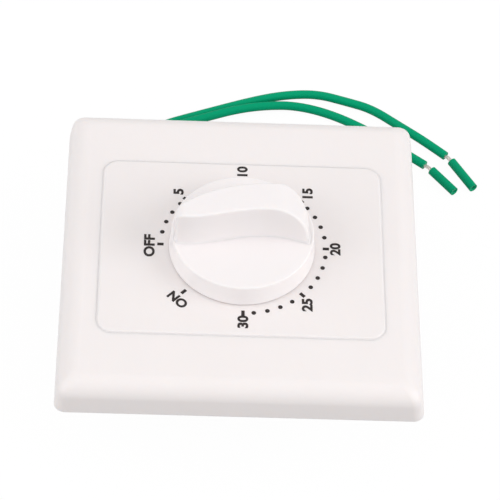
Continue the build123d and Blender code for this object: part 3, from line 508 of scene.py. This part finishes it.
def buildSeam(bm):
    far = seam["step"]
    low, top = seam["z"] - seam["thickness"], seam["z"] + seam["rise"]
    rings = []
    for away, z in ((0, low), (0, top), (far, seam["z"]), (far, low)):
        rings.append(roundedRing(
            bm, seam["innerX"] + away, seam["innerY"] + away, seam["corner"] + away, z,
        ))
    joinRings(bm, rings)
    bmesh.ops.recalc_face_normals(bm, faces=bm.faces)


panelStep = softShade(newMeshObject("panelStep", buildSeam), seam["sharpAngle"])
finishPiece(panelStep, absPanel, "housing")
print("cover frame: stacked")

# knob: a profile turned round the shaft makes the skirt, and the grip stands on its floor
knobSkirt = {
    "base radius": 17.45,
    "floor radius": 16.9,
    "base z": 33.3,
    "floor z": 39.0,
    "edge radius": 0.4,
    "foot radius": 0.2,
    "wall": 1.6,
    "web": 1.6,
    "hub radius": 4.2,
    "hub z": 28.5,
    "bore radius": 3.05,
    "bore z": 38.0,
}
turning = {"profilePoints": 8, "sides": 160, "weldMm": 0.002, "sharpAngle": 28.0}


def skirtTree():
    tree, given = newSizedTree("turnedSkirt", knobSkirt)
    edge, foot = given["edge radius"], given["foot radius"]
    floorZ, baseZ, hubZ, boreZ = (given[name + " z"] for name in ("floor", "base", "hub", "bore"))
    floor, base, hub, bore = (given[name + " radius"] for name in ("floor", "base", "hub", "bore"))
    inner = addNode(tree, "ShaderNodeMath", {"operation": "SUBTRACT"}, {0: floor, 1: given["wall"]})
    webZ = addNode(tree, "ShaderNodeMath", {"operation": "SUBTRACT"}, {0: floorZ, 1: given["web"]})
    # each point of the half section: its radius, its height and how round its corner is
    section = [
        (None, floorZ, None), (floor, floorZ, edge), (base, baseZ, foot), (inner, baseZ, foot),
        (inner, webZ, foot), (hub, webZ, foot), (hub, hubZ, foot), (bore, hubZ, None),
        (bore, boreZ, None), (None, boreZ, None),
    ]
    line = addNode(tree, "GeometryNodeMeshLine", {"Count": len(section)})
    index = addNode(tree, "GeometryNodeInputIndex")
    places = addNode(tree, "GeometryNodeIndexSwitch", {"data_type": "VECTOR"}, {"Index": index})
    rounds = addNode(tree, "GeometryNodeIndexSwitch", {"data_type": "FLOAT"}, {"Index": index})
    for switch in (places, rounds):
        while len(switch.index_switch_items) < len(section):
            switch.index_switch_items.new()
    for number, (radius, height, corner) in enumerate(section):
        # the profile lies on a circle of 1 mm, with its second axis pointing down
        outward = addNode(
            tree, "ShaderNodeMath", {"operation": "SUBTRACT", 0: 0.0, 1: 1.0},
            {} if radius is None else {0: radius},
        )
        downward = addNode(tree, "ShaderNodeMath", {"operation": "MULTIPLY", 1: -1.0}, {0: height})
        point = addNode(tree, "ShaderNodeCombineXYZ", {}, {"X": outward, "Y": downward})
        tree.links.new(point.outputs[0], places.inputs[number + 1])
        if corner is not None:
            tree.links.new(corner, rounds.inputs[number + 1])
    placed = addNode(
        tree, "GeometryNodeSetPosition", {}, {"Geometry": line, "Position": places},
    )
    curve = addNode(tree, "GeometryNodeMeshToCurve", {}, {"Mesh": placed})
    softened = addNode(
        tree, "GeometryNodeFilletCurve",
        {"mode": "POLY", "Count": turning["profilePoints"], "Limit Radius": True},
        {"Curve": curve, "Radius": rounds},
    )
    circle = addNode(
        tree, "GeometryNodeCurvePrimitiveCircle", {"Resolution": turning["sides"], "Radius": 1.0},
    )
    upright = addNode(tree, "GeometryNodeSetCurveNormal", {"mode": "Z_UP"}, {"Curve": circle})
    turned = addNode(
        tree, "GeometryNodeCurveToMesh", {}, {"Curve": upright, "Profile Curve": softened},
    )
    closed = addNode(
        tree, "GeometryNodeMergeByDistance", {"Distance": turning["weldMm"]}, {"Geometry": turned},
    )
    closeTree(tree, given, closed, mm)
    return tree


def outwardFaces(thing):
    bm = bmesh.new()
    bm.from_mesh(thing.data)
    bmesh.ops.recalc_face_normals(bm, faces=bm.faces)
    bm.to_mesh(thing.data)
    bm.free()
    return thing


skirt = outwardFaces(runTree(newMeshObject("knobSkirt"), skirtTree(), knobSkirt, absKnob))
softShade(skirt, turning["sharpAngle"])
finishPiece(skirt, absKnob, "arbor", ["knob"])

grip = {"cove": 0.4, "coveSteps": 5, "sink": 0.5, "weld": 0.02, "sharpAngle": 32.0}


def openEdgeLoop(bm):
    # the vertices along a mesh's one open edge, in order, counted anticlockwise from above
    edge = next(edge for edge in bm.edges if edge.is_boundary)
    loop = [edge.verts[0], edge.verts[1]]
    while True:
        onward = [e.other_vert(loop[-1]) for e in loop[-1].link_edges if e.is_boundary]
        onward = [vert for vert in onward if vert is not loop[-2]][0]
        if onward is loop[0]:
            break
        loop.append(onward)
    area = sum(a.co.x * b.co.y - b.co.x * a.co.y for a, b in zip(loop, loop[1:] + loop[:1]))
    if area < 0:
        loop.reverse()
    return loop


def buildGrip(bm):
    # the solid's own grip, cut off just above the skirt's floor, with a small hollow fillet below
    bm.from_mesh(nodes["knob"].data)
    bmesh.ops.remove_doubles(bm, verts=bm.verts, dist=1e-6)
    floorLevel = knobSkirt["floor z"] * mm
    cove = grip["cove"] * mm
    everything = bm.verts[:] + bm.edges[:] + bm.faces[:]
    bmesh.ops.bisect_plane(
        bm, geom=everything, plane_co=(0, 0, floorLevel + cove), plane_no=(0, 0, 1),
        clear_inner=True,
    )
    bmesh.ops.remove_doubles(bm, verts=bm.verts, dist=grip["weld"] * mm)
    loop = openEdgeLoop(bm)
    outward = []
    for before, after in zip(loop[-1:] + loop[:-1], loop[1:] + loop[:1]):
        ahead = after.co - before.co
        outward.append(Vector((ahead.y, -ahead.x, 0)).normalized())
    rings = [loop]
    for step in range(1, grip["coveSteps"] + 1):
        turn = math.pi / 2 * step / grip["coveSteps"]
        away, level = cove * (1 - math.cos(turn)), floorLevel + cove * (1 - math.sin(turn))
        rings.append([
            bm.verts.new((v.co.x + o.x * away, v.co.y + o.y * away, level)) for v, o in zip(loop, outward)
        ])
    sunk = floorLevel - grip["sink"] * mm
    rings.append([bm.verts.new((v.co.x, v.co.y, sunk)) for v in loop])
    joinRings(bm, rings, closed=False)
    bm.faces.new(rings[-1])
    bmesh.ops.recalc_face_normals(bm, faces=bm.faces)


knobGrip = softShade(newMeshObject("knobGrip", buildGrip), grip["sharpAngle"])
finishPiece(knobGrip, absKnob, "arbor", ["knob"])
print("knob: turned")

# screws on a 2 by 2 pattern: a domed head with a cross cut in it, and a shank behind it
screw = {
    "shankRadius": 1.05,
    "shankSides": 32,
    "headRadius": 2.2,
    "headHeight": 1.4,
    "headSides": (40, 20),
    "crossLong": 2.108,
    "crossWide": 0.434,
    "crossDeep": 0.8,
    "cutBlock": (6.0, 6.0, 4.0),
    "sharpAngle": 35.0,
}
screwSets = {
    "lidScrews": {
        "node": "lid_screws", "pitch x": 46.8, "pitch y": 37.588, "seat z": 1.5, "length": 5.6,
    },
    "caseScrews": {
        "node": "case_screws", "pitch x": 62.3, "pitch y": 27.988, "seat z": 22.7, "length": 6.0,
    },
}


def screwTree():
    tree, given = newSizedTree("screwPattern", ["pitch x", "pitch y", "seat z", "length"])
    grid = addNode(
        tree, "GeometryNodeMeshGrid", {"Vertices X": 2, "Vertices Y": 2},
        {"Size X": given["pitch x"], "Size Y": given["pitch y"]},
    )
    segments, rings = screw["headSides"]
    ball = addNode(
        tree, "GeometryNodeMeshUVSphere",
        {"Segments": segments, "Rings": rings, "Radius": screw["headRadius"]},
    )
    flattened = screw["headHeight"] / screw["headRadius"]
    head = addNode(tree, "GeometryNodeTransform", {"Scale": (1.0, 1.0, flattened)}, {"Geometry": ball})
    block = addNode(tree, "GeometryNodeMeshCube", {"Size": screw["cutBlock"]})
    cuts = [addNode(
        tree, "GeometryNodeTransform", {"Translation": (0, 0, screw["cutBlock"][2] / 2)},
        {"Geometry": block},
    )]
    long, wide, deep = screw["crossLong"], screw["crossWide"], 2 * screw["crossDeep"]
    for size in ((long, wide, deep), (wide, long, deep)):
        bar = addNode(tree, "GeometryNodeMeshCube", {"Size": size})
        cuts.append(addNode(
            tree, "GeometryNodeTransform", {"Translation": (0, 0, -screw["headHeight"])},
            {"Geometry": bar},
        ))
    shaped = addNode(
        tree, "GeometryNodeMeshBoolean", {"operation": "DIFFERENCE", "solver": "EXACT"},
        {"Mesh 1": head, "Mesh 2": cuts},
    )
    shank = addNode(
        tree, "GeometryNodeMeshCylinder",
        {"Vertices": screw["shankSides"], "Radius": screw["shankRadius"]}, {"Depth": given["length"]},
    )
    middle = addNode(
        tree, "ShaderNodeMath", {"operation": "MULTIPLY", 1: 0.5}, {0: given["length"]},
    )
    lift = addNode(tree, "ShaderNodeCombineXYZ", {}, {"Z": middle})
    raised = addNode(tree, "GeometryNodeTransform", {}, {"Geometry": shank, "Translation": lift})
    whole = addNode(tree, "GeometryNodeJoinGeometry", {}, {"Geometry": [shaped, raised]})
    spread = addNode(
        tree, "GeometryNodeInstanceOnPoints", {}, {"Points": grid, "Instance": whole},
    )
    seat = addNode(tree, "ShaderNodeCombineXYZ", {}, {"Z": given["seat z"]})
    seated = addNode(tree, "GeometryNodeTransform", {}, {"Geometry": spread, "Translation": seat})
    closeTree(tree, given, seated, mm)
    return tree


screwPattern = screwTree()
for pieceName, pattern in screwSets.items():
    screws = outwardFaces(runTree(newMeshObject(pieceName), screwPattern, pattern, zincScrew))
    softShade(screws, screw["sharpAngle"])
    finishPiece(screws, zincScrew, "housing", [pattern["node"]])
print("screws: set")

# bare ends: six fine wires laid round a seventh, along the strand's own bend
bareWires = {"wire radius": 0.172, "lay radius": 0.33, "turns": 0.7}
wireMesh = {"sink": 0.35, "steps": 36, "sides": 12, "outerWires": 6}


def wireTree():
    tree, given = newSizedTree("laidWires", bareWires, incoming=True)
    path = addNode(
        tree, "GeometryNodeResampleCurve", {"mode": "COUNT", "Count": wireMesh["steps"]},
        {"Curve": given["Geometry"]},
    )
    copies = addNode(
        tree, "GeometryNodeDuplicateElements",
        {"domain": "SPLINE", "Amount": wireMesh["outerWires"] + 1}, {"Geometry": path},
    )
    number = copies.outputs["Duplicate Index"]
    along = addNode(tree, "GeometryNodeSplineParameter").outputs["Factor"]
    share = addNode(
        tree, "ShaderNodeMath", {"operation": "DIVIDE", 1: float(wireMesh["outerWires"])}, {0: number},
    )
    laid = addNode(
        tree, "ShaderNodeMath", {"operation": "MULTIPLY_ADD"}, {0: along, 1: given["turns"], 2: share},
    )
    turn = addNode(tree, "ShaderNodeMath", {"operation": "MULTIPLY", 1: 2 * math.pi}, {0: laid})
    outer = addNode(
        tree, "ShaderNodeMath", {"operation": "LESS_THAN", 1: wireMesh["outerWires"] - 0.5}, {0: number},
    )
    away = addNode(
        tree, "ShaderNodeMath", {"operation": "MULTIPLY"}, {0: outer, 1: given["lay radius"]},
    )
    away = addNode(tree, "ShaderNodeMath", {"operation": "MULTIPLY", 1: mm}, {0: away})
    normal = addNode(tree, "GeometryNodeInputNormal").outputs[0]
    tangent = addNode(tree, "GeometryNodeInputTangent").outputs[0]
    side = addNode(
        tree, "ShaderNodeVectorMath", {"operation": "CROSS_PRODUCT"}, {0: tangent, 1: normal},
    )
    parts = []
    for operation, direction in (("COSINE", normal), ("SINE", side)):
        part = addNode(tree, "ShaderNodeMath", {"operation": operation}, {0: turn})
        reach = addNode(tree, "ShaderNodeMath", {"operation": "MULTIPLY"}, {0: part, 1: away})
        parts.append(addNode(
            tree, "ShaderNodeVectorMath", {"operation": "SCALE"}, {0: direction, "Scale": reach},
        ))
    offset = addNode(
        tree, "ShaderNodeVectorMath", {"operation": "ADD"}, {0: parts[0], 1: parts[1]},
    )
    moved = addNode(
        tree, "GeometryNodeSetPosition", {},
        {"Geometry": copies.outputs["Geometry"], "Offset": offset},
    )
    size = addNode(
        tree, "ShaderNodeMath", {"operation": "MULTIPLY", 1: mm}, {0: given["wire radius"]},
    )
    profile = addNode(
        tree, "GeometryNodeCurvePrimitiveCircle", {"Resolution": wireMesh["sides"]}, {"Radius": size},
    )
    drawn = addNode(
        tree, "GeometryNodeCurveToMesh", {"Fill Caps": True},
        {"Curve": moved, "Profile Curve": profile},
    )
    closeTree(tree, given, drawn)
    return tree


laidWires = wireTree()
for which in ("long", "short"):
    lead = leads[which]
    sleeve = sleeves[which]
    sleeve.data.materials.append(pvcGreen)
    end = Vector(lead["points"][-1])
    heading = (end - Vector(lead["points"][-2])).normalized()
    slugTurn = math.radians(lead["slugHeading"])
    turned = Vector((math.cos(slugTurn), math.sin(slugTurn), 0))
    bend = end + heading * leads["bareRun"]
    start = bend + turned * leads["bareRun"]
    sink = wireMesh["sink"]
    centreLine = [end - heading * sink, end, bend, start, start + turned * sink]
    bareCurve = splineCurve(which + "BareWires", centreLine, 0.0)
    strands = runTree(bareCurve, laidWires, bareWires, tinnedCopper)
    strands.data.shade_smooth()
    finishPiece(strands, tinnedCopper, "housing", [which + "_strand"])
    slug = smoothCopy(
        which + "_slug", which + "Slug", pvcGreen, "housing", angle=40,
    )
    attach(sleeve, "housing")
    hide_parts(which + "_lead")
print("leads: dressed")

# dial print: a tick at each named place and dots between, from one tree
dialCentre = (0.34, 0.2)
dialMarks = {
    "centre x": dialCentre[0],
    "centre y": dialCentre[1],
    "print z": 33.0,
    "ink": 0.05,
    "tick radius": 19.78,
    "tick length": 1.5,
    "tick width": 0.8,
    "dot radius": 19.77,
    "dot diameter": 1.1,
    "dot step": 9.5,
}
dialScale = {"ticks": 8, "tickStep": 45.0, "dotsBetween": 4, "firstMiddle": 157.5, "dotSides": 24}
# how far the print leads or lags in each sixth of the scale, in degrees, from OFF round to 30
sectorShifts = (-2.6, 0.0, 0.0, 1.7, 0.8, -0.9)


def marksTree():
    tree, given = newSizedTree("ringOfMarks", dialMarks)
    between = dialScale["dotsBetween"]
    step = {"operation": "MULTIPLY", 1: dialScale["tickStep"]}
    index = addNode(tree, "GeometryNodeInputIndex")
    tickDegrees = addNode(tree, "ShaderNodeMath", step, {0: index})
    portion = addNode(tree, "ShaderNodeMath", {"operation": "DIVIDE", 1: float(between)}, {0: index})
    number = addNode(tree, "ShaderNodeMath", {"operation": "FLOOR"}, {0: portion})
    shift = addNode(tree, "GeometryNodeIndexSwitch", {"data_type": "FLOAT"}, {"Index": number})
    while len(shift.index_switch_items) < len(sectorShifts):
        shift.index_switch_items.new()
    for place, degrees in enumerate(sectorShifts):
        shift.inputs[place + 1].default_value = degrees
    passed = addNode(tree, "ShaderNodeMath", step, {0: number})
    sector = addNode(tree, "ShaderNodeMath", {"operation": "SUBTRACT"}, {0: passed, 1: shift})
    order = addNode(tree, "ShaderNodeMath", {"operation": "MODULO", 1: float(between)}, {0: index})
    within = addNode(
        tree, "ShaderNodeMath", {"operation": "SUBTRACT", 1: (between - 1) / 2}, {0: order},
    )
    spaced = addNode(
        tree, "ShaderNodeMath", {"operation": "MULTIPLY"}, {0: within, 1: given["dot step"]},
    )
    middle = addNode(
        tree, "ShaderNodeMath", {"operation": "SUBTRACT", 0: dialScale["firstMiddle"]}, {1: sector},
    )
    dotDegrees = addNode(tree, "ShaderNodeMath", {"operation": "SUBTRACT"}, {0: middle, 1: spaced})
    tickSize = addNode(
        tree, "ShaderNodeCombineXYZ", {},
        {"X": given["tick length"], "Y": given["tick width"], "Z": given["ink"]},
    )
    tick = addNode(tree, "GeometryNodeMeshCube", {}, {"Size": tickSize})
    dotRadius = addNode(
        tree, "ShaderNodeMath", {"operation": "MULTIPLY", 1: 0.5}, {0: given["dot diameter"]},
    )
    dot = addNode(
        tree, "GeometryNodeMeshCylinder", {"Vertices": dialScale["dotSides"]},
        {"Radius": dotRadius, "Depth": given["ink"]},
    )
    printed = []
    for shape, count, degrees, radius in (
        (tick, dialScale["ticks"], tickDegrees, given["tick radius"]),
        (dot, between * len(sectorShifts), dotDegrees, given["dot radius"]),
    ):
        turn = addNode(tree, "ShaderNodeMath", {"operation": "RADIANS"}, {0: degrees})
        place = {"Z": given["print z"]}
        for axis, operation, centre in (("X", "COSINE", "centre x"), ("Y", "SINE", "centre y")):
            part = addNode(tree, "ShaderNodeMath", {"operation": operation}, {0: turn})
            place[axis] = addNode(
                tree, "ShaderNodeMath", {"operation": "MULTIPLY_ADD"},
                {0: part, 1: radius, 2: given[centre]},
            )
        spot = addNode(tree, "ShaderNodeCombineXYZ", {}, place)
        spots = addNode(tree, "GeometryNodePoints", {"Count": count}, {"Position": spot})
        facing = addNode(tree, "ShaderNodeCombineXYZ", {}, {"Z": turn})
        printed.append(addNode(
            tree, "GeometryNodeInstanceOnPoints", {},
            {"Points": spots, "Instance": shape, "Rotation": facing},
        ))
    together = addNode(tree, "GeometryNodeJoinGeometry", {}, {"Geometry": printed})
    closeTree(tree, given, together, mm)
    return tree


ringOfMarks = runTree(newMeshObject("ringOfMarks"), marksTree(), dialMarks, inkBlack)
finishPiece(ringOfMarks, inkBlack, "housing")

# each word: the turn and radius of its middle, its size, how much wider it is set, how far it leans
words = {
    "OFF": (181.3, 22.3, 3.4, 1.12, 0.0),
    "5": (133.8, 22.6, 3.2, 1.2, 0.0),
    "10": (90.4, 23.0, 3.3, 1.1, 0.0),
    "15": (46.8, 22.95, 3.3, 1.15, 0.0),
    "20": (0.0, 22.15, 3.25, 1.12, 0.0),
    "25": (-47.8, 22.7, 3.3, 1.16, 0.0),
    "30": (-89.7, 22.35, 3.3, 1.12, 0.0),
    "ON": (-133.2, 22.35, 3.2, 1.05, 45.0),
}
lettering = {"stroke": 0.09, "rounding": 0.05, "ink": 0.02, "thinned": 0.4, "baseTurn": 90.0}


def printWord(word, turn, radius, size, widen, lean):
    data = bpy.data.curves.new("word" + word, "FONT")
    data.body = word
    data.size = size * mm
    data.align_x, data.align_y = "CENTER", "CENTER"
    data.offset = lettering["stroke"] * mm
    data.bevel_depth = lettering["rounding"] * mm
    data.bevel_resolution = 0
    data.extrude = lettering["ink"] * mm
    thing = plainMesh(linkThing("word" + word, data))
    angle = math.radians(turn)
    middle = Vector((
        dialCentre[0] + radius * math.cos(angle), dialCentre[1] + radius * math.sin(angle),
        dialMarks["print z"],
    ))
    spin = Matrix.Rotation(math.radians(lettering["baseTurn"] + lean), 4, "Z")
    shape = Matrix.Diagonal((widen, 1.0, lettering["thinned"], 1.0))
    thing.data.transform(Matrix.Translation(middle * mm) @ spin @ shape)
    return thing


printedWords = [printWord(word, *setting) for word, setting in words.items()]


def joinWords(bm):
    for thing in printedWords:
        bm.from_mesh(thing.data)
        bpy.data.objects.remove(thing)
    bmesh.ops.remove_doubles(bm, verts=bm.verts, dist=1e-7)


finishPiece(newMeshObject("dialWords", joinWords), inkBlack, "housing")
print("dial: printed")

# a wide soft lamp low on each side, an even sky, and a grey floor that the camera sees as white
studio = {
    "sky": 0.71,
    "rightPower": 11.5,
    "rightPlace": (1.32, -0.38, 0.76),
    "rightSize": 1.2,
    "leftPower": 9.2,
    "leftPlace": (-1.32, -0.36, 0.78),
    "leftSize": 1.4,
    "aim": (0, 0.02, 0.02),
    "floorColour": "#949494",
    "floorHalf": 3.0,
    "floorDropMm": 0.05,
    "whiteShare": 0.86,
    "whiteStrength": 1.12,
}


def addLamp(side):
    place = studio[side + "Place"]
    data = bpy.data.lights.new(side + "Lamp", "AREA")
    data.energy = studio[side + "Power"]
    data.size = studio[side + "Size"]
    thing = linkThing(side + "Lamp", data)
    aim = Vector(studio["aim"]) - Vector(place)
    thing.location = place
    thing.rotation_euler = aim.to_track_quat("-Z", "Y").to_euler()


addLamp("right")
addLamp("left")


def buildFloor(bm):
    # it lies a hair below the lid, so that the two faces don't share a plane
    half = studio["floorHalf"]
    drop = -studio["floorDropMm"] * mm
    corners = ((-half, -half), (half, -half), (half, half), (-half, half))
    bm.faces.new([bm.verts.new((x, y, drop)) for x, y in corners])


def paintFloor():
    # matt floor paint, rolled on: no gloss, and white wherever the eye or a reflection meets it
    material, tree = newMaterial("matteFloorPaint")
    rays = addNode(tree, "ShaderNodeLightPath").outputs
    seen = rays["Is Camera Ray"]
    for kind in ("Is Glossy Ray", "Is Transmission Ray"):
        seen = addNode(tree, "ShaderNodeMath", {"operation": "MAXIMUM"}, {0: seen, 1: rays[kind]})
    share = addNode(
        tree, "ShaderNodeMath", {"operation": "MULTIPLY", 1: studio["whiteShare"]}, {0: seen},
    )
    matte = addNode(tree, "ShaderNodeBsdfDiffuse", {"Color": linearColour(studio["floorColour"])})
    white = addNode(
        tree, "ShaderNodeEmission", {"Color": (1, 1, 1, 1), "Strength": studio["whiteStrength"]},
    )
    blended = addNode(tree, "ShaderNodeMixShader", {}, {0: share, 1: matte, 2: white})
    addNode(tree, "ShaderNodeOutputMaterial", {}, {"Surface": blended})
    return material


floor = newMeshObject("floor", buildFloor)
floor.data.materials.append(paintFloor())


def addSky():
    world = bpy.data.worlds.new("studio")
    bpy.context.scene.world = world
    world.use_nodes = True
    tree = world.node_tree
    tree.nodes.clear()
    rays = addNode(tree, "ShaderNodeLightPath").outputs
    strength = addNode(
        tree, "ShaderNodeMapRange", {"To Min": studio["sky"], "To Max": 1.0},
        {"Value": rays["Is Camera Ray"]},
    )
    sky = addNode(tree, "ShaderNodeBackground", {"Color": (1, 1, 1, 1)}, {"Strength": strength})
    addNode(tree, "ShaderNodeOutputWorld", {}, {"Surface": sky})


addSky()
bpy.context.scene.view_settings.view_transform = "Standard"
print("studio: lit")
